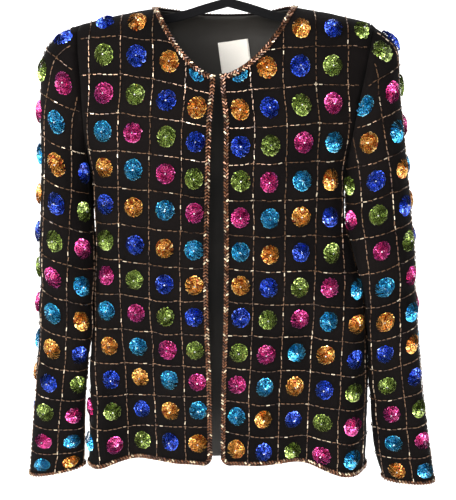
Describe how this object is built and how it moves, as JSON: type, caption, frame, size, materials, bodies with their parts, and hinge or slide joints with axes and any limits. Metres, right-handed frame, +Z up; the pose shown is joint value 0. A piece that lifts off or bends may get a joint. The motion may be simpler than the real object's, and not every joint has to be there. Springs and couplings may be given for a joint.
{
  "type": "evening jacket on hanger",
  "caption": "Collarless open-front evening jacket of black cloth with sequin rosettes in a bead windowpane, hanging open on a thin black hanger.",
  "frame": {"origin": "inside top of the hanger's hook, where a rail carries it", "axes": "+Z up, -Y out of the jacket's front, +X towards the wearer's left"},
  "size_m": [0.5984, 0.1171, 0.7709],
  "materials": {
    "black_cloth": "matt crepe under beadwork",
    "lining": "dull satin lining",
    "braid": "plaited bronze glass beads",
    "label": "woven satin",
    "hanger": "black flocked",
    "hook": "black"
  },
  "bodies": {
    "root": {"front_right": "black_cloth", "front_left": "black_cloth", "back": "black_cloth", "back_lining": "lining", "sleeve_right": "black_cloth", "sleeve_left": "black_cloth", "trim_front_right": "braid", "trim_front_left": "braid", "trim_back_neck": "braid", "trim_back_hem": "braid", "trim_cuff_right": "braid", "trim_cuff_left": "braid", "label": "label", "hanger_arms": "hanger", "hanger_hook": "hook"}
  },
  "joints": []
}
